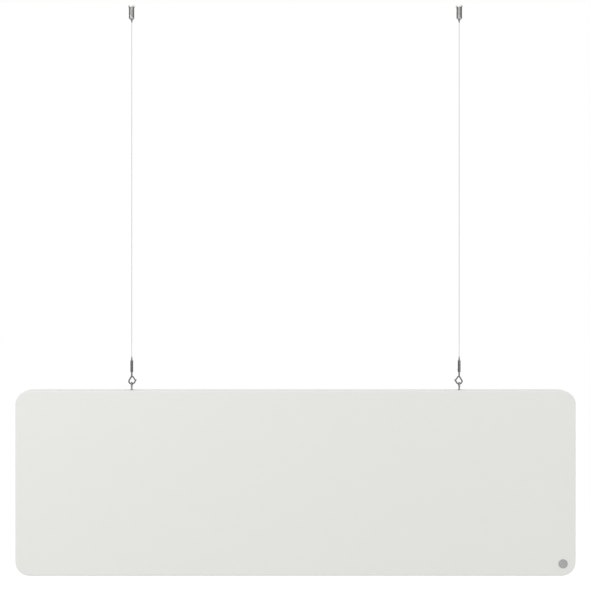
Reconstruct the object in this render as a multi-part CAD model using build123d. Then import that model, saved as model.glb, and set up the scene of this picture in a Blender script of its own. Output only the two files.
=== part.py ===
from build123d import *
import math
import os

# Hanging acoustic panel on two ceiling wires, in millimetres.
# The origin lies on the ceiling plane, midway between the two ceiling screw holes.
# X runs along the panel, Y from its front to its rear, and Z points up.

# Panel
panel_length = 1800.0
panel_height = 595.0
panel_thickness = 50.0
panel_corner_radius = 45.0
cover_thickness = 1.0
cover_edge_round = 4.0
cover_lip_depth = 8.0
pad_thickness = 5.0
pad_gap = 0.2

# Frame inside the panel
rail_width = 40.0
brace_width = 30.0
brace_offset = 300.0
core_gap = 0.3
dowel_radius = 4.0
dowel_depth = 18.0
dowel_gap = 0.05
spline_thickness = 2.2
spline_gap = 0.1
spline_recess = 1.0

# Badge on the front, near the lower right corner
badge_radius = 15.0
badge_thickness = 1.4
badge_rim_width = 1.6
badge_field_depth = 0.5
badge_ring_radii = (6.0, 10.0)
badge_ring_width = 1.7
badge_ring_height = 0.35
badge_hub_radius = 2.4
badge_from_side = 41.2
badge_from_bottom = 39.6
prong_radius = 0.7
prong_length = 5.0
prong_circle_radius = 9.0
prong_count = 3
prong_gap = 0.1
backing_radius = 13.0
backing_hole_radius = 5.0
backing_thickness = 0.8
backing_gap = 0.1

# Hanger places and the wire
wire_inset = 370.0
wire_radius = 0.6
wire_length = 1080.0
wire_overlap = 0.6
wire_end_gap = 0.3

# Ceiling fitting
rim_radius = 11.25
rim_height = 5.0
spigot_radius = 7.0
spigot_length = 14.0
thread_gap = 0.05
thread_runout = 1.0
edge_break = 0.5
screw_hole_radius = 2.3
countersink_radius = 4.5
sleeve_radius = 9.5
sleeve_length = 38.5
sleeve_dome_radius = 5.5
cavity_radius = 6.5
seat_gap = 0.08
seat_neck_height = 1.5
seat_cone_height = 2.5

# Ball nipple with its crimped ferrule
ball_radius = 6.0
ball_inset = 3.5
ball_flat_height = 3.8
nipple_tail_length = 10.5
nipple_root_radius = 3.5
nipple_tip_radius = 1.25
nipple_bore_gap = 0.08
flare_radius = 1.05
flare_depth = 1.4
ferrule_radius = 2.2
ferrule_length = 7.0
ferrule_gap = 0.02
wire_stub = 0.8

# Wire gripper
nozzle_length = 13.5
nozzle_tip_radius = 1.25
nozzle_neck_radius = 2.6
nozzle_cone_length = 11.0
barrel_length = 37.2
barrel_radius = 4.5
barrel_top_wall = 1.5
barrel_upper_bore_radius = 3.25
barrel_bore_radius = 3.55
barrel_edge_round = 0.5
slide_gap = 0.08
release_travel = 2.5
shoulder_radius = 3.1
shoulder_height = 1.5
shoulder_gap = 0.3
stem_radius = 1.5
insert_gap = 0.05
cone_clearance = 0.5
cone_length = 10.0
cone_top_radius = 1.75
cone_bottom_radius = 2.6
clamp_ball_radius = 0.8
clamp_ball_gap = 0.02
clamp_ball_count = 3
spring_wire_radius = 0.25
spring_mean_radius = 1.45
spring_turns = 6
spring_pocket_radius = 2.05
spring_pocket_depth = 5.8
guide_length = 14.7
tail_bend_drop = 1.6
tail_bend_radius = 3.0
tail_angle = 45.0
tail_reach = 7.0
tail_channel_gap = 0.25
pocket_radius = 2.4
plug_floor = 3.2

# Snap hook with its sprung gate
head_radius = 2.2
head_height = 2.4
head_gap = 0.08
swivel_neck_radius = 1.4
swivel_face_gap = 0.25
hook_wire_radius = 2.5
shank_length = 13.3
apex_bend_radius = 6.0
back_reach = 10.8
back_drop = 17.2
back_bend_radius = 7.0
seat_drop = 24.9
seat_back = 4.5
seat_front = 6.0
seat_bend_radius = 8.0
nose_reach = 13.0
nose_rise = 12.4
nose_radius = 2.7
lug_reach = 3.4
lug_drop = 1.4
lug_radius = 1.8
lug_half_width = 1.3
pin_radius = 0.6
pin_gap = 0.06
rivet_gap = 0.02
pin_head_radius = 1.0
pin_head_height = 0.4
gate_cheek_inner = 2.95
gate_plate = 0.5
gate_web_thickness = 0.6
gate_web_start = 2.5
gate_root_radius = 1.8
gate_tip_width = 3.0
gate_nose_gap = 0.2
gate_end_gap = 1.5
gate_side_gap = 0.1
gate_spring_wire_radius = 0.15
gate_spring_mean_radius = 1.0
gate_spring_pitch = 0.4
gate_spring_turns = 1.5

# Eye bolt and its threaded insert
eye_wire_radius = 2.2
eye_ring_radius = 7.8
eye_seat_gap = 0.3
eye_neck_radius = 2.6
eye_neck_length = 4.8
collar_radius = 4.8
collar_height = 2.0
eye_shank_radius = 3.0
eye_shank_length = 26.0
eye_hole_gap = 0.3
eye_hole_floor = 1.0
insert_radius = 5.0
insert_length = 20.0

# Heights down the hanger, from the ceiling
sleeve_top_z = -rim_height
sleeve_bottom_z = sleeve_top_z - sleeve_length
ball_z = sleeve_bottom_z + ball_inset
nipple_tip_z = sleeve_bottom_z - nipple_tail_length
nozzle_tip_z = nipple_tip_z - wire_length
barrel_top_z = nozzle_tip_z - nozzle_length
barrel_bottom_z = barrel_top_z - barrel_length
apex_z = barrel_bottom_z - shank_length
seat_z = apex_z - seat_drop
eye_z = seat_z + hook_wire_radius + eye_seat_gap - (eye_ring_radius - eye_wire_radius)
collar_top_z = eye_z - eye_ring_radius - eye_wire_radius - eye_neck_length
panel_top_z = collar_top_z - collar_height
panel_mid_z = panel_top_z - panel_height / 2
panel_bottom_z = panel_top_z - panel_height
wire_x = panel_length / 2 - wire_inset

# Depths through the panel
face_y = panel_thickness / 2
pad_y = face_y - cover_thickness
frame_y = pad_y - pad_thickness

# Outline of what the covers wrap, and of the groove that takes their lips
core_inset = cover_thickness + pad_gap
spline_half = spline_thickness / 2
lip_inner_y = spline_half + spline_gap
lip_outer_y = lip_inner_y + cover_thickness
groove_half = lip_outer_y + spline_gap
groove_inset = cover_thickness + cover_lip_depth + pad_gap


def rod(radius, z_low, z_high):
    """Upright cylinder on the Z axis."""
    return Pos(0, 0, (z_low + z_high) / 2) * Cylinder(radius, z_high - z_low)


def taper(radius_low, radius_high, z_low, z_high):
    """Upright cone frustum on the Z axis."""
    return Pos(0, 0, (z_low + z_high) / 2) * Cone(radius_low, radius_high, z_high - z_low)


def block(x_low, x_high, y_low, y_high, z_low, z_high):
    """Box between two corners."""
    middle = Pos((x_low + x_high) / 2, (y_low + y_high) / 2, (z_low + z_high) / 2)
    return middle * Box(x_high - x_low, y_high - y_low, z_high - z_low)


def slab(inset, y_low, y_high):
    """Plate with the panel's rounded outline, drawn in by an inset."""
    length = panel_length - 2 * inset
    height = panel_height - 2 * inset
    radius = max(panel_corner_radius - inset, cover_thickness)
    plane = Plane((0, y_high, panel_mid_z), x_dir=(1, 0, 0), z_dir=(0, -1, 0))
    return extrude(plane * RectangleRounded(length, height, radius), y_high - y_low)


def only(shape):
    """The shape's single solid, for tidy exports."""
    solids = shape.solids()
    return solids[0] if len(solids) == 1 else Compound(solids)


def mirrored(shape):
    """The rear twin of a piece of the panel's front."""
    return mirror(shape, Plane.XZ)


# Ceiling fitting: base, sleeve and the ball nipple that swings in it

def ceiling_base():
    spigot_bottom_z = -rim_height - spigot_length
    rim = rod(rim_radius, -rim_height, 0)
    body = chamfer(rim.edges().group_by(Axis.Z)[0], edge_break)
    body += rod(spigot_radius, spigot_bottom_z, -rim_height)
    body -= rod(screw_hole_radius, spigot_bottom_z, 0)
    countersink_height = countersink_radius - screw_hole_radius
    sink_top_z = spigot_bottom_z + countersink_height
    body -= taper(countersink_radius, screw_hole_radius, spigot_bottom_z, sink_top_z)
    return body


def ceiling_sleeve():
    body = rod(sleeve_radius, sleeve_bottom_z, sleeve_top_z)
    body = fillet(body.edges().group_by(Axis.Z)[0], sleeve_dome_radius)
    body = chamfer(body.edges().group_by(Axis.Z)[-1], edge_break)
    thread_bottom_z = sleeve_top_z - spigot_length - thread_runout
    body -= rod(spigot_radius + thread_gap, thread_bottom_z, sleeve_top_z)
    seat_radius = ball_radius + seat_gap
    neck_top_z = ball_z + seat_neck_height
    cone_top_z = neck_top_z + seat_cone_height
    body -= rod(cavity_radius, cone_top_z, thread_bottom_z)
    body -= taper(seat_radius, cavity_radius, neck_top_z, cone_top_z)
    body -= rod(seat_radius, ball_z, neck_top_z)
    body -= Pos(0, 0, ball_z) * Sphere(seat_radius)
    return body


def flared_mouth(mouth_z, inward):
    """The widening end of a wire bore. inward is 1 where the bore runs up and -1 where it runs down."""
    bore_radius = wire_radius + nipple_bore_gap
    inner_z = mouth_z + inward * flare_depth
    if inward > 0:
        return taper(flare_radius, bore_radius, mouth_z, inner_z)
    return taper(bore_radius, flare_radius, inner_z, mouth_z)


def ball_nipple():
    body = Pos(0, 0, ball_z) * Sphere(ball_radius)
    body += taper(nipple_tip_radius, nipple_root_radius, nipple_tip_z, sleeve_bottom_z)
    flat_z = ball_z + ball_flat_height
    body -= rod(ball_radius, flat_z, ball_z + ball_radius)
    body -= rod(wire_radius + nipple_bore_gap, nipple_tip_z, flat_z)
    body -= flared_mouth(nipple_tip_z, 1)
    return body


def crimp_ferrule():
    low_z = ball_z + ball_flat_height
    body = rod(ferrule_radius, low_z, low_z + ferrule_length)
    body = chamfer(body.edges(), edge_break)
    body -= rod(wire_radius + ferrule_gap, low_z, low_z + ferrule_length)
    return body


def nipple_wire():
    """The wire's clamped upper end, inside the nipple and the ferrule."""
    low_z = nipple_tip_z + wire_overlap + wire_end_gap
    high_z = ball_z + ball_flat_height + ferrule_length + wire_stub
    return rod(wire_radius, low_z, high_z)


def suspension_wire():
    """The free wire, which starts and ends just inside the two flared mouths."""
    return rod(wire_radius, nozzle_tip_z - wire_overlap, nipple_tip_z + wire_overlap)


# Wire gripper: barrel, clamp and the release nozzle that frees the wire

shoulder_top_z = barrel_top_z - barrel_top_wall - shoulder_gap
shoulder_bottom_z = shoulder_top_z - shoulder_height
cone_top_z = shoulder_bottom_z - release_travel - cone_clearance
cone_bottom_z = cone_top_z - cone_length
clamp_ring_radius = wire_radius + clamp_ball_radius + clamp_ball_gap
cone_slope = (cone_bottom_radius - cone_top_radius) / cone_length
clamp_reach = clamp_ring_radius + clamp_ball_radius + 2 * clamp_ball_gap
clamp_ball_z = cone_top_z - (clamp_reach - cone_top_radius) / cone_slope
spring_top_z = clamp_ball_z - clamp_ball_radius - clamp_ball_gap
spring_bottom_z = cone_bottom_z - spring_pocket_depth
tail_bend_z = spring_bottom_z - tail_bend_drop
guide_bottom_z = cone_bottom_z - guide_length
pocket_floor_z = barrel_bottom_z + plug_floor


def gripper_barrel():
    body = rod(barrel_radius, barrel_bottom_z, barrel_top_z)
    body = fillet(body.edges().filter_by(GeomType.CIRCLE), barrel_edge_round)
    wall_z = barrel_top_z - barrel_top_wall
    body -= rod(nozzle_neck_radius + slide_gap, wall_z, barrel_top_z)
    body -= rod(barrel_upper_bore_radius, cone_top_z, wall_z)
    body -= rod(barrel_bore_radius, barrel_bottom_z, cone_top_z)
    body -= wire_channel()
    return body


def release_nozzle():
    neck_top_z = nozzle_tip_z - nozzle_cone_length
    body = taper(nozzle_neck_radius, nozzle_tip_radius, neck_top_z, nozzle_tip_z)
    body += rod(nozzle_neck_radius, shoulder_top_z, neck_top_z)
    body += rod(shoulder_radius, shoulder_bottom_z, shoulder_top_z)
    stem_bottom_z = clamp_ball_z + clamp_ball_radius + clamp_ball_gap
    body += rod(stem_radius, stem_bottom_z, shoulder_bottom_z)
    body -= rod(wire_radius + nipple_bore_gap, stem_bottom_z, nozzle_tip_z)
    body -= flared_mouth(nozzle_tip_z, -1)
    return body


def clamp_cone():
    body = rod(barrel_bore_radius - insert_gap, cone_bottom_z, cone_top_z)
    body -= taper(cone_bottom_radius, cone_top_radius, cone_bottom_z, cone_top_z)
    return body


def clamp_balls():
    balls = []
    for step in range(clamp_ball_count):
        turn = Rot(0, 0, 360 * step / clamp_ball_count)
        balls.append(turn * Pos(clamp_ring_radius, 0, clamp_ball_z) * Sphere(clamp_ball_radius))
    return Compound([ball.solid() for ball in balls])


def coil(mean_radius, coil_wire_radius, pitch, height):
    """Open coil of round wire that climbs from the origin along Z."""
    path = Helix(pitch, height, mean_radius)
    section = Plane(path @ 0, z_dir=path % 0) * Circle(coil_wire_radius)
    return sweep(section, path)


def clamp_spring():
    height = spring_top_z - spring_bottom_z - 2 * spring_wire_radius
    spring = coil(spring_mean_radius, spring_wire_radius, height / spring_turns, height)
    return Pos(0, 0, spring_bottom_z + spring_wire_radius) * spring


def wire_guide():
    body = rod(barrel_bore_radius - insert_gap, guide_bottom_z, cone_bottom_z)
    body -= rod(spring_pocket_radius, spring_bottom_z, cone_bottom_z)
    body -= wire_channel()
    return body


def gripper_plug():
    body = rod(barrel_bore_radius - insert_gap, barrel_bottom_z, guide_bottom_z)
    body -= rod(pocket_radius, pocket_floor_z, guide_bottom_z)
    body -= rod(swivel_neck_radius + slide_gap, barrel_bottom_z, pocket_floor_z)
    return body


def tail_path(top_z):
    """Centre line of the clamped wire: down the axis, then out through the side."""
    end_z = tail_bend_z - tail_reach / math.tan(math.radians(tail_angle))
    points = [(0, 0, top_z), (0, 0, tail_bend_z), (-tail_reach, 0, end_z)]
    return FilletPolyline(*points, radius=tail_bend_radius)


def tube_along(path, radius):
    return sweep(Plane(path @ 0, z_dir=path % 0) * Circle(radius), path)


def wire_channel():
    """Clearance that the wire's tail needs in the guide and the barrel."""
    return tube_along(tail_path(spring_bottom_z), wire_radius + tail_channel_gap)


def gripper_wire():
    top_z = nozzle_tip_z - wire_overlap - wire_end_gap
    return tube_along(tail_path(top_z), wire_radius)


# Snap hook: swivelling shank, loop, nose and the sprung gate

nose_z = seat_z + nose_rise
lug_z = apex_z - lug_drop
nose_distance = math.hypot(nose_reach - lug_reach, lug_z - nose_z)
gate_offset = nose_radius + gate_nose_gap + gate_web_thickness / 2
nose_angle = math.degrees(math.atan2(lug_z - nose_z, nose_reach - lug_reach))
gate_angle = nose_angle + math.degrees(math.asin(gate_offset / nose_distance))
gate_length = math.sqrt(nose_distance ** 2 - gate_offset ** 2) - gate_end_gap


def hook_path(shank_top_z):
    points = [
        (0, 0, shank_top_z),
        (0, 0, apex_z),
        (-back_reach, 0, apex_z - back_drop),
        (-seat_back, 0, seat_z),
        (seat_front, 0, seat_z),
        (nose_reach, 0, nose_z),
    ]
    radii = [apex_bend_radius, back_bend_radius, seat_bend_radius, seat_bend_radius]
    return FilletPolyline(*points, radius=radii)


def snap_hook():
    shank_top_z = barrel_bottom_z - swivel_face_gap
    body = tube_along(hook_path(shank_top_z), hook_wire_radius)
    head_bottom_z = pocket_floor_z + head_gap
    body += rod(swivel_neck_radius, shank_top_z, head_bottom_z)
    body += rod(head_radius, head_bottom_z, head_bottom_z + head_height)
    body += Pos(nose_reach, 0, nose_z) * Sphere(nose_radius)
    lug = Pos(lug_reach, 0, lug_z) * Rot(90, 0, 0) * Cylinder(lug_radius, 2 * lug_half_width)
    web = block(0, lug_reach, -lug_half_width, lug_half_width, lug_z - lug_radius, lug_z + lug_radius)
    body += lug + web
    pin_hole = Cylinder(pin_radius + rivet_gap, 2 * lug_half_width)
    body -= Pos(lug_reach, 0, lug_z) * Rot(90, 0, 0) * pin_hole
    return body


def at_lug(shape):
    """Places a piece that is drawn at the gate's pivot, with its X along the gate."""
    return Pos(lug_reach, 0, lug_z) * Rot(0, gate_angle, 0) * shape


def gate_latch():
    """Channel gate: two cheeks that straddle the nose, joined by a web on the loop's side."""
    outer = gate_cheek_inner + gate_plate
    half = gate_web_thickness / 2
    root = gate_root_radius
    corners = [(0, root), (gate_length, gate_tip_width - half), (gate_length, -half), (0, -root)]
    cheek_face = make_face(Polyline(*corners, close=True)) + Circle(root)
    cheek_face -= Circle(pin_radius + pin_gap)
    cheek = extrude(Plane.XZ * cheek_face, gate_plate)
    body = Pos(0, outer, 0) * cheek
    body += Pos(0, -gate_cheek_inner, 0) * cheek
    body += block(gate_web_start, gate_length, -outer, outer, -half, half)
    return at_lug(body)


def gate_pin():
    outer = gate_cheek_inner + gate_plate + gate_side_gap
    body = Cylinder(pin_radius, 2 * outer)
    for side in (-1, 1):
        body += Pos(0, 0, side * (outer + pin_head_height / 2)) * Cylinder(pin_head_radius, pin_head_height)
    return at_lug(Rot(90, 0, 0) * body)


def gate_spring():
    height = gate_spring_pitch * gate_spring_turns
    spring = coil(gate_spring_mean_radius, gate_spring_wire_radius, gate_spring_pitch, height)
    room = gate_cheek_inner - lug_half_width
    start = lug_half_width + (room - height) / 2
    return at_lug(Rot(-90, 0, 0) * Pos(0, 0, start) * spring)


# Eye bolt: ring, neck, collar and the shank in its insert

frame_top_z = panel_top_z - core_inset
insert_top_z = panel_top_z - groove_inset - spline_gap
insert_bottom_z = insert_top_z - insert_length
eye_hole_bottom_z = min(insert_bottom_z, panel_top_z - eye_shank_length) - eye_hole_floor


def eye_bolt():
    body = Pos(0, 0, eye_z) * Rot(0, 90, 0) * Torus(eye_ring_radius, eye_wire_radius)
    body += rod(eye_neck_radius, collar_top_z, eye_z - eye_ring_radius)
    collar = rod(collar_radius, panel_top_z, collar_top_z)
    body += chamfer(collar.edges().group_by(Axis.Z)[-1], edge_break)
    body += rod(eye_shank_radius, panel_top_z - eye_shank_length, panel_top_z)
    return body


def threaded_insert():
    body = rod(insert_radius, insert_bottom_z, insert_top_z)
    body = chamfer(body.edges().group_by(Axis.Z)[0], edge_break)
    body -= rod(eye_shank_radius + thread_gap, insert_bottom_z, insert_top_z)
    return body


def eye_holes(radius, low_z):
    """The two holes that let the eye bolts down into the top of the panel."""
    holes = [Pos(side * wire_x, 0, 0) * rod(radius, low_z, panel_top_z) for side in (-1, 1)]
    return holes[0] + holes[1]


# Panel: covers, pads, frame, cores and badge

def front_cover():
    """Stretched cover with a lip that turns into the groove round the panel's edge."""
    body = slab(0, -face_y, -lip_inner_y)
    body = fillet(body.edges().group_by(Axis.Y)[0], cover_edge_round)
    hollow = slab(cover_thickness, -pad_y, -lip_outer_y)
    body -= fillet(hollow.edges().group_by(Axis.Y)[0], cover_edge_round - cover_thickness)
    body -= slab(cover_thickness + cover_lip_depth, -lip_outer_y, -lip_inner_y)
    return body - eye_holes(eye_shank_radius + eye_hole_gap, insert_top_z)


def face_pad():
    """Front pad under the cover, before the badge's recess is cut."""
    body = slab(core_inset, -pad_y, -frame_y)
    return fillet(body.edges().group_by(Axis.Y)[0], cover_edge_round - cover_thickness)


def edge_spline():
    body = slab(spline_recess, -spline_half, spline_half)
    body -= slab(cover_thickness + cover_lip_depth, -spline_half, spline_half)
    return body - eye_holes(eye_shank_radius + eye_hole_gap, insert_top_z)


def frame_ring():
    """The whole timber ring with its groove, before it is parted into members."""
    ring = slab(core_inset, -frame_y, frame_y)
    ring -= slab(core_inset + rail_width, -frame_y, frame_y)
    groove = slab(0, -groove_half, groove_half) - slab(groove_inset, -groove_half, groove_half)
    return ring - groove


straight_x = panel_length / 2 - max(panel_corner_radius, core_inset + rail_width)
straight_high_z = panel_top_z - max(panel_corner_radius, core_inset + rail_width)
straight_low_z = panel_bottom_z + max(panel_corner_radius, core_inset + rail_width)
rail_middle = core_inset + rail_width / 2
inner_high_z = frame_top_z - rail_width
inner_low_z = panel_bottom_z + core_inset + rail_width


def dowel_places():
    """Centre and direction of each dowel: two at every corner, one at each end of a brace."""
    places = []
    for side in (-1, 1):
        stile_x = side * (panel_length / 2 - rail_middle)
        for rail_z in (panel_top_z - rail_middle, panel_bottom_z + rail_middle):
            places.append((Pos(side * straight_x, 0, rail_z), Rot(0, 90, 0)))
        for joint_z in (straight_high_z, straight_low_z):
            places.append((Pos(stile_x, 0, joint_z), Rot(0, 0, 0)))
        for joint_z in (inner_high_z, inner_low_z):
            places.append((Pos(side * brace_offset, 0, joint_z), Rot(0, 0, 0)))
    return places


def dowels(radius, half_length):
    return [place * turn * Cylinder(radius, 2 * half_length) for place, turn in dowel_places()]


def frame_pieces():
    """Rails, stiles and corner blocks cut from the ring, and the two braces."""
    ring = frame_ring()
    half = panel_length / 2
    holes = Compound([hole.solid() for hole in dowels(dowel_radius + dowel_gap, dowel_depth + dowel_gap)])
    insert_holes = eye_holes(insert_radius + insert_gap, eye_hole_bottom_z)

    def cut(x_low, x_high, z_low, z_high):
        return (ring & block(x_low, x_high, -frame_y, frame_y, z_low, z_high)) - holes

    top = cut(-straight_x, straight_x, inner_high_z, panel_top_z) - insert_holes
    bottom = cut(-straight_x, straight_x, panel_bottom_z, inner_low_z)
    left = cut(-half, -half + core_inset + rail_width, straight_low_z, straight_high_z)
    right = cut(half - core_inset - rail_width, half, straight_low_z, straight_high_z)
    corners = []
    for x_low, x_high in ((-half, -straight_x), (straight_x, half)):
        for z_low, z_high in ((straight_high_z, panel_top_z), (panel_bottom_z, straight_low_z)):
            corners.append(cut(x_low, x_high, z_low, z_high).solid())
    pieces = {
        "top_rail": top,
        "bottom_rail": bottom,
        "left_stile": left,
        "right_stile": right,
        "corner_blocks": Compound(corners),
    }
    for name, side in (("left", -1), ("right", 1)):
        low_x = side * brace_offset - brace_width / 2
        brace = block(low_x, low_x + brace_width, -frame_y, frame_y, inner_low_z, inner_high_z)
        pieces[name + "_brace"] = brace - holes
    return pieces


def acoustic_cores():
    """Absorber slabs in the three bays between the stiles and the braces."""
    whole = slab(core_inset + rail_width + core_gap, -frame_y, frame_y)
    near = brace_offset - brace_width / 2 - core_gap
    far = brace_offset + brace_width / 2 + core_gap
    end = panel_length / 2
    bays = {"left_core": (-end, -far), "middle_core": (-near, near), "right_core": (far, end)}
    pieces = {}
    for name, (low_x, high_x) in bays.items():
        pieces[name] = whole & block(low_x, high_x, -frame_y, frame_y, panel_bottom_z, panel_top_z)
    return pieces


def at_badge(shape):
    """Places a piece that is drawn face up at the origin on the front of the panel."""
    centre_x = panel_length / 2 - badge_from_side
    centre_z = panel_bottom_z + badge_from_bottom
    return Pos(centre_x, -face_y, centre_z) * Rot(90, 0, 0) * shape


def prongs(radius, length):
    pins = [
        Rot(0, 0, 90 + 360 * step / prong_count) * Pos(prong_circle_radius, 0, 0) * rod(radius, -length, 0)
        for step in range(prong_count)
    ]
    return Compound([pin.solid() for pin in pins])


def badge_disc():
    """Plain metal disc with a raised rim, plain raised rings and a small hub."""
    field_z = badge_thickness - badge_field_depth
    raised_z = field_z + badge_ring_height
    body = rod(badge_radius, 0, badge_thickness)
    body = fillet(body.edges().group_by(Axis.Z)[-1], badge_field_depth / 2)
    body -= rod(badge_radius - badge_rim_width, field_z, badge_thickness)
    for ring_radius in badge_ring_radii:
        ring = rod(ring_radius + badge_ring_width / 2, field_z, raised_z)
        body += ring - rod(ring_radius - badge_ring_width / 2, field_z, raised_z)
    body += rod(badge_hub_radius, field_z, raised_z)
    body += prongs(prong_radius, prong_length)
    return at_badge(body)


def badge_backing():
    low_z = -cover_thickness - backing_thickness
    body = rod(backing_radius, low_z, -cover_thickness)
    body -= rod(backing_hole_radius, low_z, -cover_thickness)
    body -= prongs(prong_radius + prong_gap, prong_length)
    return at_badge(body)


def badge_recess():
    """Room for the backing washer and the prongs in the cover and the front pad."""
    low_z = -cover_thickness - backing_thickness - backing_gap
    recess = rod(backing_radius + backing_gap, low_z, -cover_thickness)
    return at_badge(recess + prongs(prong_radius + prong_gap, prong_length + prong_gap))


def hanger_pieces():
    """One hanger's pieces on the Z axis, by the turn that each takes on the left and on the right."""
    upright = {
        "ceiling_base": ceiling_base(),
        "ceiling_sleeve": ceiling_sleeve(),
        "ball_nipple": ball_nipple(),
        "crimp_ferrule": crimp_ferrule(),
        "nipple_wire": nipple_wire(),
        "suspension_wire": suspension_wire(),
        "release_nozzle": release_nozzle(),
        "eye_bolt": eye_bolt(),
        "threaded_insert": threaded_insert(),
    }
    gripper = {
        "gripper_barrel": gripper_barrel(),
        "clamp_cone": clamp_cone(),
        "clamp_balls": clamp_balls(),
        "clamp_spring": clamp_spring(),
        "wire_guide": wire_guide(),
        "gripper_plug": gripper_plug(),
        "gripper_wire": gripper_wire(),
    }
    hook = {
        "snap_hook": snap_hook(),
        "gate_latch": gate_latch(),
        "gate_pin": gate_pin(),
        "gate_spring": gate_spring(),
    }
    return ((upright, 0, 0), (gripper, -90, 0), (hook, 0, 180))


def all_pieces():
    pieces = {}
    for group, left_turn, right_turn in hanger_pieces():
        for name, shape in group.items():
            pieces["left_" + name] = Pos(-wire_x, 0, 0) * Rot(0, 0, left_turn) * shape
            pieces["right_" + name] = Pos(wire_x, 0, 0) * Rot(0, 0, right_turn) * shape
    cover = front_cover()
    pad = face_pad()
    recess = badge_recess()
    pieces["front_cover"] = cover - recess
    pieces["rear_cover"] = mirrored(cover)
    pieces["front_pad"] = pad - recess
    pieces["rear_pad"] = mirrored(pad)
    pieces["edge_spline"] = edge_spline()
    pieces.update(frame_pieces())
    pieces.update(acoustic_cores())
    pieces["frame_dowels"] = Compound([dowel.solid() for dowel in dowels(dowel_radius, dowel_depth)])
    pieces["badge_disc"] = badge_disc()
    pieces["badge_backing"] = badge_backing()
    return pieces


os.makedirs("parts", exist_ok=True)
for node, piece in all_pieces().items():
    export_step(only(piece), f"parts/{node}.step")
print(f"wire tail bend {tail_bend_radius} mm, panel top {panel_top_z:.2f}, bottom {panel_bottom_z:.2f}")
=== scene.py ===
import math

import bpy
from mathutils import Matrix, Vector, noise


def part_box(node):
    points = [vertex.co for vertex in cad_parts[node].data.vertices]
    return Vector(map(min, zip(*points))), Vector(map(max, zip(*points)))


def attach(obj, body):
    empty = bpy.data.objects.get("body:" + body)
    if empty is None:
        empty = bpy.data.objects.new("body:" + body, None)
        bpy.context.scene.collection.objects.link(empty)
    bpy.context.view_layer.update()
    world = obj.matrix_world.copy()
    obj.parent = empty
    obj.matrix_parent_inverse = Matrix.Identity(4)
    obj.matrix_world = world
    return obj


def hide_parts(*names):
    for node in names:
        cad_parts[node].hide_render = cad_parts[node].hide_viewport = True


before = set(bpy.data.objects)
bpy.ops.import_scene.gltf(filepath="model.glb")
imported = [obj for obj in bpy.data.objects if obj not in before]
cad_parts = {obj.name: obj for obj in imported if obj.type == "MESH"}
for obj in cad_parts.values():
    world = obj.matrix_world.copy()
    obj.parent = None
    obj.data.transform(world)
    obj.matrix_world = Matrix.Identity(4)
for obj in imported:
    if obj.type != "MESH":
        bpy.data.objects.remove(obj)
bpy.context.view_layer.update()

# Looks of a hanging acoustic panel, in metres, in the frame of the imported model.

MM = 0.001
SIDES = (("left", -1), ("right", 1))

# The photograph's camera: 590 by 591 pixels, level, straight in front of the panel
IMAGE_HEIGHT = 591
CAMERA_PLACE = Vector((-0.0015, -2.825, -0.937))
FRONT_PIXELS_PER_METRE = 311.6
FRONT_DISTANCE = 2.8
SENSOR = 36.0
FAR_CLIP = 60.0

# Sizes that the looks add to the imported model
ROPE_STRANDS = 6
ROPE_LAY = 9.0 * MM
ROPE_RING_STEP = 0.9 * MM
STRAND_SIDES = 4
STRAND_SWEEP = 1.2
ROPE_END_REACH = 0.2 * MM
COVER_THICKNESS = 0.9 * MM
COVER_EDGE_ROUND = 4.0 * MM
LIP_DEPTH = 8.0 * MM
LIP_ROUND = 1.3 * MM
SEAM_HALF = 1.25 * MM
BOLT_PART_RADIUS = 4.1 * MM
BOLT_STEP = 0.6 * MM
BOLT_STEPS_EACH_WAY = 9
PANEL_CORNER = 45.0 * MM
PAD_CORNER = PANEL_CORNER - 1.2 * MM
CORE_CORNER = 3.5 * MM
WEAVE_PITCH = 1.1 * MM
BADGE_RING_PITCH = 4.0 * MM

# Least corner radii, where an inset would leave none
COVER_LEAST_RADIUS = 4.0 * MM
SLAB_LEAST_RADIUS = 2.0 * MM

# Mesh steps of the covers and slabs
LONG_EDGE_STEPS = 48
SHORT_EDGE_STEPS = 16
COVER_CORNER_STEPS = 14
LIP_TURNS = 6
EDGE_TURNS = 7
SLAB_CORNER_STEPS = 10
SLAB_TURNS = 4
FACE_INSETS = [inset * MM for inset in (5, 8, 14, 24, 38, 56, 80, 110, 145, 185, 225, 262)]
SLAB_INSET_SHARES = (0.05, 0.13, 0.3, 0.6, 1.0)
SLAB_REACH = 0.9

# Unevenness of the cloth: height, distance over which it grows, and each wave's
# rate along X, place in the noise and rate along Z
FACE_WAVE = 0.1 * MM
WAVE_GROWTH = 60.0 * MM
BROAD_WAVE = (4.0, 3.1, 5.0)
FINE_WAVE = (17.0, 8.4, 19.0)
FINE_SHARE = 0.25
WAVE_SHIFT = 2.0

# Unevenness of the slabs: height, rates along X and Z and through Y, calm edge
SLAB_RIPPLE = 0.1 * MM
SLAB_RIPPLE_RATE = 9.0
SLAB_RIPPLE_THROUGH = 60.0
SLAB_CALM_EDGE = 30.0 * MM

# Metals: scale and shade of the smudges, stretch of the tool marks, range of the gloss
SMUDGE_SCALE = 0.35
SMUDGE_SHADE = 0.9
TURNED_MARKS = (0.05, 0.05, 6.0)
EVEN_MARKS = (1.0, 1.0, 1.0)
GLOSS_RANGE = (0.75, 1.3)

# Cloth, badge and timber
CLOTH_DARK = (0.782, 0.783, 0.754)
CLOTH_LIGHT = (0.815, 0.816, 0.787)
CLOUD_SHARE = 0.1
FIBRE_SHARE = 0.9
WEAVE_SHARE = 0.5
# Badge colours: painted shade for the troughs between the rings, painted highlight for the raised rings
BADGE_TROUGH_SHADE = (0.22, 0.22, 0.215)
BADGE_RING_HIGHLIGHT = (0.54, 0.54, 0.53)
PLASTIC_DARK = (0.58, 0.58, 0.55)
PLASTIC_LIGHT = (0.66, 0.66, 0.63)
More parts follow.
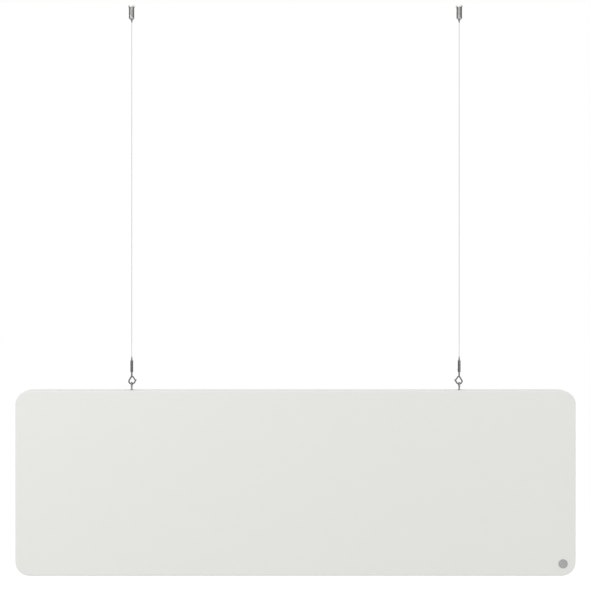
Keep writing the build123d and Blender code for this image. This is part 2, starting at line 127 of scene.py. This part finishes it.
# Foam: the dark colour is painted shade in the pores, the light colour is the foam's own grey
FOAM_PORE_SHADE = (0.12, 0.13, 0.12)
FOAM_LIGHT = (0.42, 0.43, 0.4)
GRAIN_ACROSS = 0.12
GRAIN_ALONG = 0.006


# Objects and meshes

def new_object(name, data):
    obj = bpy.data.objects.new(name, data)
    bpy.context.collection.objects.link(obj)
    return obj


def mesh_object(name, points, faces):
    mesh = bpy.data.meshes.new(name)
    mesh.from_pydata([tuple(p) for p in points], [], faces)
    mesh.polygons.foreach_set("use_smooth", [True] * len(mesh.polygons))
    mesh.update()
    return new_object(name, mesh)


def band_faces(rings, count):
    """Four-sided faces between closed rings of points."""
    faces = []
    for ring in range(rings - 1):
        low, high = ring * count, (ring + 1) * count
        for i in range(count):
            j = (i + 1) % count
            faces.append((low + i, low + j, high + j, high + i))
    return faces


def corner_point(signs, centre, radius, angle):
    """A point on a rounded corner, in X and Z about the middle of the piece."""
    return signs[0] * centre[0] + radius * math.cos(angle), signs[1] * centre[1] + radius * math.sin(angle)


# Camera and cords

def make_camera():
    data = bpy.data.cameras.new("photo_camera")
    data.sensor_width = SENSOR
    data.lens = FRONT_PIXELS_PER_METRE * FRONT_DISTANCE / IMAGE_HEIGHT * SENSOR
    data.clip_end = FAR_CLIP
    camera = new_object("photo_camera", data)
    camera.location = CAMERA_PLACE
    camera.rotation_euler = (math.pi / 2, 0, 0)
    bpy.context.scene.camera = camera


def spline_points(route, steps):
    """Points along the smooth curve that has the route as its control points."""
    curve = bpy.data.curves.new("route", "CURVE")
    curve.dimensions = "3D"
    curve.resolution_u = steps
    spline = curve.splines.new("NURBS")
    spline.points.add(len(route) - 1)
    for point, place in zip(spline.points, route):
        point.co = (*place, 1.0)
    spline.order_u = 3
    spline.use_endpoint_u = True
    carrier = bpy.data.objects.new("route", curve)
    line = bpy.data.meshes.new_from_object(carrier)
    points = [v.co.copy() for v in line.vertices]
    bpy.data.meshes.remove(line)
    bpy.data.objects.remove(carrier)
    bpy.data.curves.remove(curve)
    return points


def ring_frames(points):
    """A steady pair of cross directions at each point of a line."""
    frames = []
    across = None
    for i, point in enumerate(points):
        ahead = points[min(i + 1, len(points) - 1)] - points[max(i - 1, 0)]
        ahead.normalize()
        if across is None:
            across = ahead.orthogonal().normalized()
        across = (across - ahead * across.dot(ahead)).normalized()
        frames.append((point, across, ahead.cross(across)))
    return frames


def rope_outline(radius):
    """Angle and distance of the points round a bundle of strands."""
    strand = radius / (1 + 1 / math.sin(math.pi / ROPE_STRANDS))
    centre = radius - strand
    outline = []
    for i in range(ROPE_STRANDS):
        middle = 2 * math.pi * i / ROPE_STRANDS
        for j in range(STRAND_SIDES):
            turn = math.pi * ((j + 0.5) / STRAND_SIDES - 0.5) * STRAND_SWEEP
            x = centre + strand * math.cos(turn)
            y = strand * math.sin(turn)
            outline.append((middle + math.atan2(y, x), math.hypot(x, y)))
    return outline


def rope_mesh(name, points, radius):
    """Twisted strands along a line, closed at both ends."""
    outline = rope_outline(radius)
    count = len(outline)
    verts = []
    along = 0.0
    last = points[0]
    for point, across, up in ring_frames(points):
        along += (point - last).length
        last = point
        twist = 2 * math.pi * along / ROPE_LAY
        for angle, distance in outline:
            turn = angle + twist
            verts.append(point + (across * math.cos(turn) + up * math.sin(turn)) * distance)
    faces = band_faces(len(points), count)
    first, final = len(verts), len(verts) + 1
    verts += [points[0], points[-1]]
    end = (len(points) - 1) * count
    for i in range(count):
        j = (i + 1) % count
        faces.append((first, j, i))
        faces.append((final, end + i, end + j))
    return mesh_object(name, verts, faces)


def make_rope(side):
    """The free wire from the nipple's mouth into the gripper's mouth, pulled straight by the panel."""
    low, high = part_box(f"{side}_suspension_wire")
    x, y = (low.x + high.x) / 2, (low.y + high.y) / 2
    radius = (high.x - low.x) / 2
    low_z = low.z - ROPE_END_REACH
    route = [(x, y, high.z), (x, y, (low_z + high.z) / 2), (x, y, low_z)]
    length = high.z - low_z
    points = spline_points(route, int(length / ROPE_RING_STEP))
    rope = rope_mesh(f"{side}_wire_rope", points, radius)
    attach(rope, f"{side}_wire")
    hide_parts(f"{side}_suspension_wire")
    return rope


# Shader helpers

def new_material(name):
    material = bpy.data.materials.new(name)
    material.use_nodes = True
    tree = material.node_tree
    return material, tree, tree.nodes["Principled BSDF"]


def add(tree, kind, **values):
    """A node with its properties, or its inputs by name, set."""
    node = tree.nodes.new(kind)
    for key, value in values.items():
        if hasattr(node, key):
            setattr(node, key, value)
        else:
            node.inputs[key.replace("_", " ")].default_value = value
    return node


def place(tree, scale=(1, 1, 1)):
    """Object coordinates in millimetres, stretched by a scale."""
    coords = add(tree, "ShaderNodeTexCoord")
    mapping = add(tree, "ShaderNodeMapping")
    mapping.inputs["Scale"].default_value = [s / MM for s in scale]
    tree.links.new(coords.outputs["Object"], mapping.inputs["Vector"])
    return mapping.outputs["Vector"]


def noise_value(tree, vector, scale, detail=3.0, roughness=0.5):
    node = add(tree, "ShaderNodeTexNoise", Scale=scale, Detail=detail, Roughness=roughness)
    tree.links.new(vector, node.inputs["Vector"])
    return node.outputs["Fac"]


def shade_range(tree, value, dark, light, low=0.3, high=0.7):
    """A colour between dark and light, picked by a value between low and high."""
    node = add(tree, "ShaderNodeValToRGB")
    node.color_ramp.elements[0].position = low
    node.color_ramp.elements[1].position = high
    node.color_ramp.elements[0].color = (*dark, 1)
    node.color_ramp.elements[1].color = (*light, 1)
    tree.links.new(value, node.inputs["Fac"])
    return node.outputs["Color"]


def value_range(tree, value, low, high, start=0.3, end=0.7):
    node = add(tree, "ShaderNodeMapRange")
    node.inputs["From Min"].default_value = start
    node.inputs["From Max"].default_value = end
    node.inputs["To Min"].default_value = low
    node.inputs["To Max"].default_value = high
    tree.links.new(value, node.inputs["Value"])
    return node.outputs["Result"]


def maths(tree, operation, a, b=0.0):
    node = add(tree, "ShaderNodeMath", operation=operation)
    for socket, value in zip(node.inputs, (a, b)):
        if isinstance(value, (int, float)):
            socket.default_value = value
        else:
            tree.links.new(value, socket)
    return node.outputs["Value"]


def bump(tree, shader, height, depth, strength=1.0):
    """Depth is the height, in millimetres, that a full step of the value stands for."""
    node = add(tree, "ShaderNodeBump")
    node.inputs["Strength"].default_value = strength
    node.inputs["Distance"].default_value = depth * MM
    tree.links.new(height, node.inputs["Height"])
    tree.links.new(node.outputs["Normal"], shader.inputs["Normal"])


def metal(name, color, roughness, turned=True, grain=0.02):
    """Plated or bare metal with fine tool marks, faint smudges and uneven gloss."""
    material, tree, shader = new_material(name)
    shader.inputs["Metallic"].default_value = 1.0
    spots = noise_value(tree, place(tree), SMUDGE_SCALE, detail=4.0)
    darker = [c * SMUDGE_SHADE for c in color]
    tree.links.new(shade_range(tree, spots, darker, color), shader.inputs["Base Color"])
    marks_place = place(tree, TURNED_MARKS if turned else EVEN_MARKS)
    marks = noise_value(tree, marks_place, 1.0, detail=2.0)
    gloss = maths(tree, "MULTIPLY", maths(tree, "ADD", spots, marks), 0.5)
    rough = value_range(tree, gloss, *(roughness * share for share in GLOSS_RANGE))
    tree.links.new(rough, shader.inputs["Roughness"])
    bump(tree, shader, marks, grain)
    return material


def weave(tree):
    """Height of a plain weave on a face of any direction, mixed by where the face looks."""
    vector = place(tree)
    axes = add(tree, "ShaderNodeSeparateXYZ")
    tree.links.new(vector, axes.inputs["Vector"])
    normal = add(tree, "ShaderNodeSeparateXYZ")
    geometry = add(tree, "ShaderNodeNewGeometry")
    tree.links.new(geometry.outputs["Normal"], normal.inputs["Vector"])
    turns = 2 * math.pi / (WEAVE_PITCH / MM)
    waves = [maths(tree, "SINE", maths(tree, "MULTIPLY", axes.outputs[k], turns)) for k in "XYZ"]
    total = None
    for k, (a, b) in enumerate(((1, 2), (0, 2), (0, 1))):
        crossing = maths(tree, "MULTIPLY", waves[a], waves[b])
        facing = maths(tree, "ABSOLUTE", normal.outputs[k])
        part = maths(tree, "MULTIPLY", crossing, maths(tree, "POWER", facing, 3.0))
        total = part if total is None else maths(tree, "ADD", total, part)
    return total


def fabric_material():
    """Off-white woven cloth: plain weave, soft fibre noise, faint mottling and a little sheen."""
    material, tree, shader = new_material("cover_cloth")
    cloud = noise_value(tree, place(tree), 0.012, detail=3.0)
    fibre = noise_value(tree, place(tree), 1.7, detail=4.0, roughness=0.7)
    clouds = maths(tree, "MULTIPLY", cloud, CLOUD_SHARE)
    tone = maths(tree, "ADD", clouds, maths(tree, "MULTIPLY", fibre, FIBRE_SHARE))
    color = shade_range(tree, tone, CLOTH_DARK, CLOTH_LIGHT)
    tree.links.new(color, shader.inputs["Base Color"])
    shader.inputs["Roughness"].default_value = 0.95
    shader.inputs["Specular IOR Level"].default_value = 0.2
    shader.inputs["Sheen Weight"].default_value = 0.12
    shader.inputs["Sheen Roughness"].default_value = 0.6
    height = maths(tree, "ADD", maths(tree, "MULTIPLY", weave(tree), WEAVE_SHARE), fibre)
    bump(tree, shader, height, 0.08, strength=0.5)
    return material


def felt_material(name, dark, light, scale):
    """Matted fibre for the pads."""
    material, tree, shader = new_material(name)
    fibre = noise_value(tree, place(tree), scale, detail=6.0, roughness=0.7)
    tree.links.new(shade_range(tree, fibre, dark, light), shader.inputs["Base Color"])
    shader.inputs["Roughness"].default_value = 0.95
    shader.inputs["Specular IOR Level"].default_value = 0.15
    bump(tree, shader, fibre, 0.3)
    return material


def foam_material():
    """Open-cell absorber: grey foam with small dark cells, the dark being painted shade in the pits of the
    cells.
    """
    material, tree, shader = new_material("open_cell_foam_painted_pore_shade")
    cells = add(tree, "ShaderNodeTexVoronoi", Scale=0.8)
    tree.links.new(place(tree), cells.inputs["Vector"])
    # Painted shade: darker towards the middle of each cell's pit
    color = shade_range(tree, cells.outputs["Distance"], FOAM_PORE_SHADE, FOAM_LIGHT, low=0.1, high=0.5)
    tree.links.new(color, shader.inputs["Base Color"])
    shader.inputs["Roughness"].default_value = 0.9
    bump(tree, shader, cells.outputs["Distance"], 0.5)
    return material


def timber_material(name, grain_axis, dark, light):
    """Pine with grain that runs along one axis: 0 for X, 2 for Z."""
    material, tree, shader = new_material(name)
    stretch = [GRAIN_ACROSS] * 3
    stretch[grain_axis] = GRAIN_ALONG
    grain = noise_value(tree, place(tree, stretch), 1.0, detail=5.0, roughness=0.6)
    rings = add(tree, "ShaderNodeTexWave", Scale=0.35, Distortion=6.0, Detail=3.0)
    tree.links.new(place(tree, stretch), rings.inputs["Vector"])
    tone = maths(tree, "MULTIPLY", maths(tree, "ADD", grain, rings.outputs["Fac"]), 0.5)
    color = shade_range(tree, tone, dark, light, low=0.2, high=0.8)
    tree.links.new(color, shader.inputs["Base Color"])
    tree.links.new(value_range(tree, grain, 0.55, 0.75), shader.inputs["Roughness"])
    bump(tree, shader, tone, 0.15)
    return material


def plastic_material():
    material, tree, shader = new_material("spline_plastic")
    spots = noise_value(tree, place(tree), 0.8)
    color = shade_range(tree, spots, PLASTIC_DARK, PLASTIC_LIGHT)
    tree.links.new(color, shader.inputs["Base Color"])
    tree.links.new(value_range(tree, spots, 0.45, 0.6), shader.inputs["Roughness"])
    bump(tree, shader, spots, 0.05)
    return material


def badge_painted_shade_material():
    """Satin metal disc brushed about its own centre, with darker and lighter rings: painted shade in the
    troughs and painted highlight on the raised rings.
    """
    material, tree, shader = new_material("badge_satin_painted_shade")
    low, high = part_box("badge_disc")
    coords = add(tree, "ShaderNodeTexCoord")
    mapping = add(tree, "ShaderNodeMapping")
    mapping.inputs["Location"].default_value = [-(low.x + high.x) / 2, 0, -(low.z + high.z) / 2]
    tree.links.new(coords.outputs["Object"], mapping.inputs["Vector"])
    flat = add(tree, "ShaderNodeVectorMath", operation="MULTIPLY")
    flat.inputs[1].default_value = (1 / MM, 0, 1 / MM)
    tree.links.new(mapping.outputs["Vector"], flat.inputs[0])
    distance = add(tree, "ShaderNodeVectorMath", operation="LENGTH")
    tree.links.new(flat.outputs["Vector"], distance.inputs[0])
    rings = add(tree, "ShaderNodeTexNoise", noise_dimensions="1D", Scale=4.0, Detail=3.0)
    tree.links.new(distance.outputs["Value"], rings.inputs["W"])
    marks = rings.outputs["Fac"]
    pitch = BADGE_RING_PITCH / MM
    # Painted shade and painted highlight: darker in the troughs and lighter on the raised rings, following
    # their height
    turns = maths(tree, "SUBTRACT", distance.outputs["Value"], pitch / 2)
    painted_ring_shade = maths(tree, "COSINE", maths(tree, "MULTIPLY", turns, 2 * math.pi / pitch))
    tone = maths(tree, "ADD", painted_ring_shade, maths(tree, "MULTIPLY", marks, 0.3))
    share = value_range(tree, tone, low=0.0, high=1.0, start=-0.6, end=0.9)
    color = shade_range(tree, share, BADGE_TROUGH_SHADE, BADGE_RING_HIGHLIGHT)
    tree.links.new(color, shader.inputs["Base Color"])
    tree.links.new(value_range(tree, marks, 0.32, 0.5), shader.inputs["Roughness"])
    shader.inputs["Metallic"].default_value = 1.0
    bump(tree, shader, marks, 0.02)
    return material


def make_materials():
    pine = ((0.46, 0.29, 0.13), (0.66, 0.47, 0.26))
    return {
        "nickel": metal("bright_nickel", (0.44, 0.43, 0.415), 0.18),
        "base": metal("satin_nickel", (0.86, 0.86, 0.84), 0.5),
        "gripper": metal("dark_nickel", (0.19, 0.19, 0.18), 0.25),
        "ferrule": metal("crimped_aluminium", (0.6, 0.6, 0.6), 0.4),
        "rope": metal("steel_rope", (0.2, 0.2, 0.2), 0.35, turned=False),
        "plated": metal("dull_plate", (0.2, 0.2, 0.195), 0.28, turned=False),
        "eye": metal("zinc_plate", (0.36, 0.36, 0.355), 0.3, turned=False),
        "gate": metal("gate_steel", (0.22, 0.22, 0.215), 0.3, turned=False),
        "ball": metal("bearing_steel", (0.62, 0.62, 0.62), 0.08, turned=False, grain=0.005),
        "spring": metal("spring_steel", (0.3, 0.3, 0.31), 0.3, turned=False),
        "brass": metal("turned_brass", (0.7, 0.5, 0.2), 0.3),
        "badge": badge_painted_shade_material(),
        "cover": fabric_material(),
        "pad": felt_material("pad_felt", (0.6, 0.6, 0.57), (0.72, 0.72, 0.69), 0.5),
        "core": foam_material(),
        "rail_wood": timber_material("pine_along", 0, *pine),
        "post_wood": timber_material("pine_upright", 2, *pine),
        "dowel_wood": timber_material("beech_dowel", 0, (0.55, 0.36, 0.2), (0.68, 0.5, 0.32)),
        "spline": plastic_material(),
    }


HARDWARE_LOOKS = {
    "ceiling_base": "base", "ceiling_sleeve": "nickel", "ball_nipple": "gripper",
    "crimp_ferrule": "ferrule", "nipple_wire": "rope", "suspension_wire": "rope",
    "release_nozzle": "gripper", "gripper_barrel": "gripper", "gripper_plug": "gripper",
    "clamp_cone": "brass", "wire_guide": "brass", "threaded_insert": "brass",
    "clamp_balls": "ball", "clamp_spring": "spring", "gate_spring": "spring",
    "gripper_wire": "rope", "snap_hook": "plated", "gate_pin": "plated", "eye_bolt": "eye",
    "gate_latch": "gate",
}
PANEL_LOOKS = {
    "front_cover": "cover", "rear_cover": "cover", "front_pad": "pad", "rear_pad": "pad",
    "left_core": "core", "middle_core": "core", "right_core": "core",
    "top_rail": "rail_wood", "bottom_rail": "rail_wood", "corner_blocks": "rail_wood",
    "left_stile": "post_wood", "right_stile": "post_wood", "left_brace": "post_wood",
    "right_brace": "post_wood", "frame_dowels": "dowel_wood", "edge_spline": "spline",
    "badge_disc": "badge", "badge_backing": "badge",
}


def wear(obj, material):
    obj.data.materials.clear()
    obj.data.materials.append(material)


def dress_nodes(materials):
    looks = dict(PANEL_LOOKS)
    for side, _ in SIDES:
        looks.update({f"{side}_{name}": look for name, look in HARDWARE_LOOKS.items()})
    for node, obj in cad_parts.items():
        wear(obj, materials[looks[node]])


# Panel covers, pads and cores

def even_steps(count):
    """Places from -1 to 1 in even steps."""
    return [-1 + 2 * i / count for i in range(count + 1)]


def outline_stations(bolts):
    """Stations round the panel's outline, clockwise from its top left.

    A station is ("corner", X sign, Z sign, angle) or ("edge", place in X, place in Z, 1 if upright).
    """
    stations = []
    top = sorted(set(even_steps(LONG_EDGE_STEPS) + bolts))
    bottom = [-t for t in even_steps(LONG_EDGE_STEPS)]
    upright = [-t for t in even_steps(SHORT_EDGE_STEPS)]

    def corner(sx, sz, start):
        for i in range(1, COVER_CORNER_STEPS):
            angle = math.radians(start - 90 * i / COVER_CORNER_STEPS)
            stations.append(("corner", sx, sz, angle))

    for t in top:
        stations.append(("edge", t, 1, 0))
    corner(1, 1, 90)
    for t in upright:
        stations.append(("edge", 1, t, 1))
    corner(1, -1, 0)
    for t in bottom:
        stations.append(("edge", t, -1, 0))
    corner(-1, -1, -90)
    for t in reversed(upright):
        stations.append(("edge", -1, t, 1))
    corner(-1, 1, 180)
    return stations


def station_point(station, half_x, half_z, inset):
    """Where a station lies on the outline drawn in by an inset."""
    radius = max(PANEL_CORNER - inset, COVER_LEAST_RADIUS)
    cx, cz = half_x - inset - radius, half_z - inset - radius
    if station[0] == "corner":
        _, sx, sz, angle = station
        return corner_point((sx, sz), (cx, cz), radius, angle)
    _, a, b, upright = station
    if upright:
        return a * (cx + radius), b * cz
    return a * cx, b * (cz + radius)


def bolt_stations(half_x, bolt_xs):
    """Extra places along the top edge, close together round each eye bolt."""
    straight = half_x - PANEL_CORNER
    steps = [k * BOLT_STEP for k in range(-BOLT_STEPS_EACH_WAY, BOLT_STEPS_EACH_WAY + 1)]
    return [(x + step) / straight for x in bolt_xs for step in steps]


def cover_profile():
    """A cover's section, from the lip in the groove, over the edge and onto the face.

    Each entry is (inset, distance from the mid-plane, 1 near the seam).
    """
    _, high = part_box("rear_cover")
    face = high.y
    lip = [(LIP_DEPTH, 0.0), (LIP_DEPTH / 2, 0.0), (LIP_ROUND + 0.6 * MM, 0.0)]
    for i in range(LIP_TURNS + 1):
        turn = math.radians(90 * i / LIP_TURNS)
        lip.append((LIP_ROUND * (1 - math.sin(turn)), LIP_ROUND * (1 - math.cos(turn))))
    profile = [(inset, SEAM_HALF + rise, 1) for inset, rise in lip]
    profile.append((0.0, SEAM_HALF + LIP_ROUND + 1.0 * MM, 1))
    profile.append((0.0, face * 0.45, 0))
    profile.append((0.0, face - COVER_EDGE_ROUND - 0.8 * MM, 0))
    for i in range(EDGE_TURNS + 1):
        turn = math.radians(90 * i / EDGE_TURNS)
        inset = COVER_EDGE_ROUND * (1 - math.cos(turn))
        profile.append((inset, face - COVER_EDGE_ROUND * (1 - math.sin(turn)), 0))
    return profile + [(inset, face, 0) for inset in FACE_INSETS]


def seam_parting(x, bolt_xs):
    """How far the lips stand apart at x, so that they pass on each side of an eye bolt's shank."""
    parting = 0.0
    for bolt_x in bolt_xs:
        away = abs(x - bolt_x)
        if away < BOLT_PART_RADIUS:
            parting = max(parting, math.sqrt(BOLT_PART_RADIUS ** 2 - away ** 2) - SEAM_HALF)
    return max(parting, 0.0)


def cloth_noise(x, z, wave):
    across, layer, up = wave
    return noise.noise(Vector((x * across, layer, z * up)))


def face_wave(x, z, inset):
    """Slight unevenness of cloth stretched over a pad, which dies out at the edges."""
    grow = min(1.0, max(0.0, (inset - COVER_EDGE_ROUND) / WAVE_GROWTH))
    broad = cloth_noise(x, z, BROAD_WAVE)
    fine = cloth_noise(x, z, FINE_WAVE)
    return FACE_WAVE * grow * max(0.0, 1.0 + broad + FINE_SHARE * fine)


def cover_piece(name, side, node):
    """Stretched cover of one face. side is -1 at the front and 1 at the rear."""
    low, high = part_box(node)
    half_x, half_z = (high.x - low.x) / 2, (high.z - low.z) / 2
    mid_z = (high.z + low.z) / 2
    bolt_xs = [sum(c.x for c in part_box(f"{s}_eye_bolt")) / 2 for s, _ in SIDES]
    stations = outline_stations(bolt_stations(half_x, bolt_xs))
    verts = []
    for inset, depth, near_seam in cover_profile():
        for station in stations:
            x, z = station_point(station, half_x, half_z, inset)
            y = depth
            on_top = station[0] == "edge" and station[2] == 1 and not station[3]
            if near_seam and on_top:
                y += seam_parting(x, bolt_xs)
            if inset > COVER_EDGE_ROUND:
                y += face_wave(x, z * side + WAVE_SHIFT, inset)
            verts.append((x, side * y, mid_z + z))
    count = len(stations)
    rings = len(verts) // count
    faces = band_faces(rings, count)
    faces.append(tuple(range((rings - 1) * count, rings * count)))
    if side < 0:
        faces = [face[::-1] for face in faces]
    piece = mesh_object(name, verts, faces)
    shell = piece.modifiers.new("thickness", "SOLIDIFY")
    shell.thickness = COVER_THICKNESS
    shell.offset = -1.0
    return piece


def slab_profile(edge_round, half_y, half_z):
    """A slab's section, as (inset, distance from the mid-plane), from the front face round to the rear."""
    part = []
    for i in range(SLAB_TURNS + 1):
        turn = math.radians(90 * i / SLAB_TURNS)
        part.append((edge_round * (1 - math.cos(turn)), half_y - edge_round * (1 - math.sin(turn))))
    for share in SLAB_INSET_SHARES:
        part.append((edge_round + share * (half_z - edge_round) * SLAB_REACH, half_y))
    return [(inset, -depth) for inset, depth in reversed(part)] + part


def soft_slab(name, node, edge_round, corner):
    """Closed slab with soft edges in the space of a CAD node, its faces slightly uneven."""
    low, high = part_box(node)
    half_x, half_y, half_z = (high - low) / 2
    mid = (low + high) / 2
    verts = []
    for inset, depth in slab_profile(edge_round, half_y, half_z):
        radius = max(corner - inset, SLAB_LEAST_RADIUS)
        centre = (half_x - inset - radius, half_z - inset - radius)
        inward = min(1.0, inset / SLAB_CALM_EDGE)
        for sx, sz, start in ((1, 1, 90), (1, -1, 0), (-1, -1, -90), (-1, 1, 180)):
            for i in range(SLAB_CORNER_STEPS + 1):
                angle = math.radians(start - 90 * i / SLAB_CORNER_STEPS)
                x, z = corner_point((sx, sz), centre, radius, angle)
                where = Vector((x * SLAB_RIPPLE_RATE, depth * SLAB_RIPPLE_THROUGH, z * SLAB_RIPPLE_RATE))
                ripple = SLAB_RIPPLE * abs(noise.noise(where)) * inward
                verts.append((mid.x + x, mid.y + depth - math.copysign(ripple, depth), mid.z + z))
    per_ring = 4 * (SLAB_CORNER_STEPS + 1)
    rings = len(verts) // per_ring
    faces = band_faces(rings, per_ring)
    faces.append(tuple(reversed(range(per_ring))))
    faces.append(tuple(range((rings - 1) * per_ring, rings * per_ring)))
    return mesh_object(name, verts, faces)


def make_covers(materials):
    for name, side, node, pad in (("front_cloth", -1, "front_cover", "front_felt_pad"),
                                  ("rear_cloth", 1, "rear_cover", "rear_felt_pad")):
        piece = cover_piece(name, side, node)
        wear(piece, materials["cover"])
        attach(piece, "panel")
        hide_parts(node)


def make_soft_inside(materials):
    jobs = (
        ("front_felt_pad", "front_pad", 1.5 * MM, PAD_CORNER, "pad", "pad_felt", 0.9),
        ("rear_felt_pad", "rear_pad", 1.5 * MM, PAD_CORNER, "pad", "pad_felt", 0.9),
        ("left_foam_core", "left_core", 2.0 * MM, CORE_CORNER, "core", "acoustic_core", 1.0),
        ("middle_foam_core", "middle_core", 2.0 * MM, CORE_CORNER, "core", "acoustic_core", 1.0),
        ("right_foam_core", "right_core", 2.0 * MM, CORE_CORNER, "core", "acoustic_core", 1.0),
    )
    for name, node, edge, corner, look, slot, fill in jobs:
        piece = soft_slab(name, node, edge, corner)
        wear(piece, materials[look])
        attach(piece, "panel")
        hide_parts(node)


# Floor, background and lights

FLOOR_Z = -2.75
FLOOR_SIZE = 30.0
WORLD_LIGHT = 0.69
CARD_X = 3.0
CARD_LOW = (-5.4, -2.7)
CARD_HIGH = (2.3, 1.6)
# Glow of the side cards, which show only in polished metal: painted reflection
PAINTED_REFLECTION_GLOW = 0.33
FLOOR_TONE = (0.55, 0.55, 0.55, 1)
FLOOR_GLOW = 0.615

# Lamps, as place, size and power in watts; all aim at the same place
LAMP_TARGET = (0, 0, -1.5)
KEY_LAMP = ((-2.6, -3.4, 0.2), (1.6, 1.6), 69)
FILL_LAMP = ((2.8, -3.0, -0.6), (2.0, 2.0), 31)
REAR_LAMP = ((0.5, 3.2, 0.6), (2.0, 2.0), 30)


def floor_material():
    """Pale floor that the camera sees as white except in a shadow."""
    material, tree, shader = new_material("pale_floor")
    shader.inputs["Base Color"].default_value = FLOOR_TONE
    shader.inputs["Roughness"].default_value = 0.9
    shader.inputs["Specular IOR Level"].default_value = 0.1
    spots = noise_value(tree, place(tree), 0.002)
    bump(tree, shader, spots, 0.5)
    glow = add(tree, "ShaderNodeEmission", Strength=FLOOR_GLOW)
    both = add(tree, "ShaderNodeAddShader")
    tree.links.new(shader.outputs["BSDF"], both.inputs[0])
    tree.links.new(glow.outputs["Emission"], both.inputs[1])
    seen = direct_look(tree)
    mix = add(tree, "ShaderNodeMixShader")
    tree.links.new(seen, mix.inputs["Fac"])
    tree.links.new(shader.outputs["BSDF"], mix.inputs[1])
    tree.links.new(both.outputs["Shader"], mix.inputs[2])
    tree.links.new(mix.outputs["Shader"], tree.nodes["Material Output"].inputs["Surface"])
    return material


def direct_look(tree):
    """1 for what the camera sees, directly, mirrored in metal or through glass."""
    path = add(tree, "ShaderNodeLightPath")
    glossy = maths(tree, "MAXIMUM", path.outputs["Is Camera Ray"], path.outputs["Is Glossy Ray"])
    return maths(tree, "MAXIMUM", glossy, path.outputs["Is Transmission Ray"])


def make_world():
    world = bpy.data.worlds.new("soft_studio")
    bpy.context.scene.world = world
    world.use_nodes = True
    tree = world.node_tree
    background = tree.nodes["Background"]
    background.inputs["Color"].default_value = (1.0, 1.0, 1.0, 1)
    strength = value_range(tree, direct_look(tree), low=WORLD_LIGHT, high=1.0, start=0.0, end=1.0)
    tree.links.new(strength, background.inputs["Strength"])


def area_light(name, at, size, energy):
    data = bpy.data.lights.new(name, "AREA")
    data.shape = "RECTANGLE"
    data.size, data.size_y = size
    data.energy = energy
    light = new_object(name, data)
    light.location = at
    light.rotation_euler = (Vector(LAMP_TARGET) - Vector(at)).to_track_quat("-Z", "Y").to_euler()


def painted_reflection_card(x):
    """Glowing grey sheet beside the object, unseen by the camera, by diffuse light and by shadows: a
    painted reflection that shows only in polished metal, as dark stripes.
    """
    (low_y, low_z), (high_y, high_z) = CARD_LOW, CARD_HIGH
    corners = [(x, low_y, low_z), (x, high_y, low_z), (x, high_y, high_z), (x, low_y, high_z)]
    card = mesh_object("painted_reflection_card", corners, [(0, 1, 2, 3)])
    material, tree, shader = new_material("painted_reflection_grey")
    shader.inputs["Base Color"].default_value = (0, 0, 0, 1)
    shader.inputs["Specular IOR Level"].default_value = 0.0
    shader.inputs["Emission Color"].default_value = (1, 1, 1, 1)
    shader.inputs["Emission Strength"].default_value = PAINTED_REFLECTION_GLOW
    wear(card, material)
    for ray in ("camera", "diffuse", "shadow", "transmission"):
        setattr(card, f"visible_{ray}", False)


def make_studio():
    signs = ((-1, -1), (1, -1), (1, 1), (-1, 1))
    corners = [(sx * FLOOR_SIZE, sy * FLOOR_SIZE, FLOOR_Z) for sx, sy in signs]
    floor = mesh_object("floor", corners, [(0, 1, 2, 3)])
    wear(floor, floor_material())
    make_world()
    area_light("key_light", *KEY_LAMP)
    area_light("fill_light", *FILL_LAMP)
    # Painted reflection: grey sheets seen only in polished metal
    for x in (-CARD_X, CARD_X):
        painted_reflection_card(x)
    area_light("rear_light", *REAR_LAMP)
    bpy.context.scene.view_settings.view_transform = "Standard"


# The order of making: the camera and cords come first

make_camera()
ROPES = [make_rope(side) for side, _ in SIDES]
MATERIALS = make_materials()
dress_nodes(MATERIALS)
for rope_piece in ROPES:
    wear(rope_piece, MATERIALS["rope"])
make_covers(MATERIALS)
make_soft_inside(MATERIALS)
make_studio()
